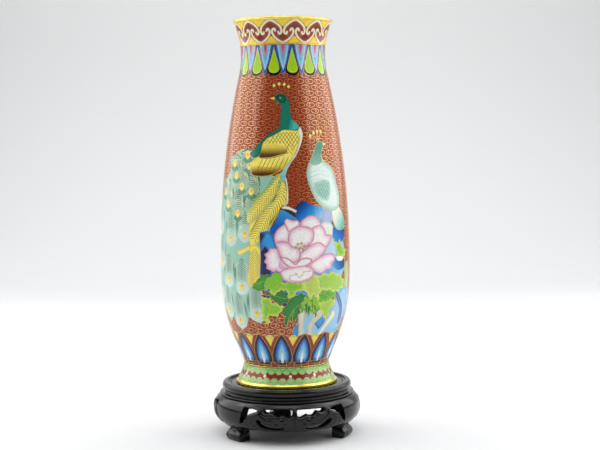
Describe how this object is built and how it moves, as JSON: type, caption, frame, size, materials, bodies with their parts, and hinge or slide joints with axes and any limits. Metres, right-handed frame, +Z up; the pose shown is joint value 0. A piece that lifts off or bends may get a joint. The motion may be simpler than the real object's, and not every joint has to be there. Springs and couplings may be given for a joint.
{
  "type": "cloisonne vase",
  "caption": "Tall cloisonne enamel vase with peacocks and a peony, standing loose in the recess of a carved black lacquered wooden stand with scroll feet.",
  "frame": {"origin": "on the surface that the stand rests on, under the vase's axis and at the centre of the stand's footprint", "axes": "+Z up along the vase's axis, front of the object towards -Y, +X to the right as seen from the front"},
  "size_m": [0.1243, 0.1244, 0.3493],
  "materials": {
    "gilt": "polished",
    "copper": "satin",
    "enamel_body": "gloss",
    "enamel_neck": "gloss",
    "enamel_foot": "gloss",
    "counter_enamel": "gloss",
    "black_lacquer": "gloss",
    "peg_wood": "matte"
  },
  "bodies": {
    "stand": {"stand_top_ring": "black_lacquer", "stand_seat_panel": "black_lacquer", "stand_waist_ring": "black_lacquer", "leg_1": "black_lacquer", "leg_2": "black_lacquer", "leg_3": "black_lacquer", "apron_1": "black_lacquer", "apron_2": "black_lacquer", "apron_3": "black_lacquer", "leg_dowel_1": "peg_wood", "leg_dowel_2": "peg_wood", "leg_dowel_3": "peg_wood", "ring_peg_1": "peg_wood", "ring_peg_2": "peg_wood", "ring_peg_3": "peg_wood", "apron_peg_1": "peg_wood", "apron_peg_2": "peg_wood", "apron_peg_3": "peg_wood", "apron_peg_4": "peg_wood", "apron_peg_5": "peg_wood", "apron_peg_6": "peg_wood"},
    "vase": {"mouth_rim": "gilt", "neck_copper": "copper", "upper_body_copper": "copper", "lower_body_copper": "copper", "foot_copper": "copper", "base_copper": "copper", "foot_rim": "gilt", "neck_wire": "gilt", "ankle_wire": "gilt", "enamel_neck": "enamel_neck", "enamel_body": "enamel_body", "enamel_foot": "enamel_foot", "counter_enamel_lining": "counter_enamel", "base_enamel": "counter_enamel"}
  },
  "joints": [
    {"name": "vase_lift", "type": "slide", "parent": "stand", "child": "vase", "axis": [0, 0, 1], "range_m": [0, 0.05]}
  ]
}
